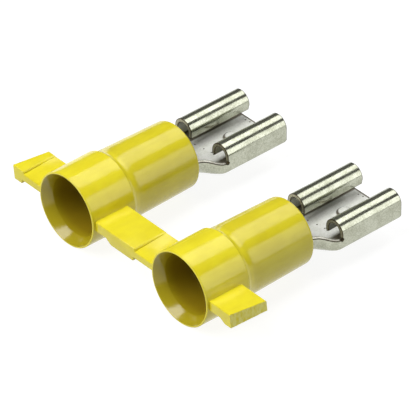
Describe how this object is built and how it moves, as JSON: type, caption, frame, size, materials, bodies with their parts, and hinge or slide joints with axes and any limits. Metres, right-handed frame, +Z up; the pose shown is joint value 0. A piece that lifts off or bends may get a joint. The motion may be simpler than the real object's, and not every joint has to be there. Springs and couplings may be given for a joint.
{
  "type": "insulated female spade terminal",
  "caption": "Strip of insulated female spade terminals: folded tinned receptacles held in yellow stepped sleeves that a moulded web joins side by side.",
  "frame": {"origin": "centre of the bounding box, at the level of the collars' undersides, which the strip lies on", "axes": "+X along the barrel axes from the wire mouths to the receptacles, +Y from the near terminal to the far one, +Z up, the way the receptacles' rolls face"},
  "size_m": [0.025, 0.0326, 0.0081],
  "materials": {
    "moulding": "glossy opaque yellow moulding",
    "tinned_sheet": "bright tin plate on brass sheet"
  },
  "bodies": {
    "root": {"insulation_strip": "moulding", "far_terminal": "tinned_sheet", "near_terminal": "tinned_sheet"}
  },
  "joints": []
}
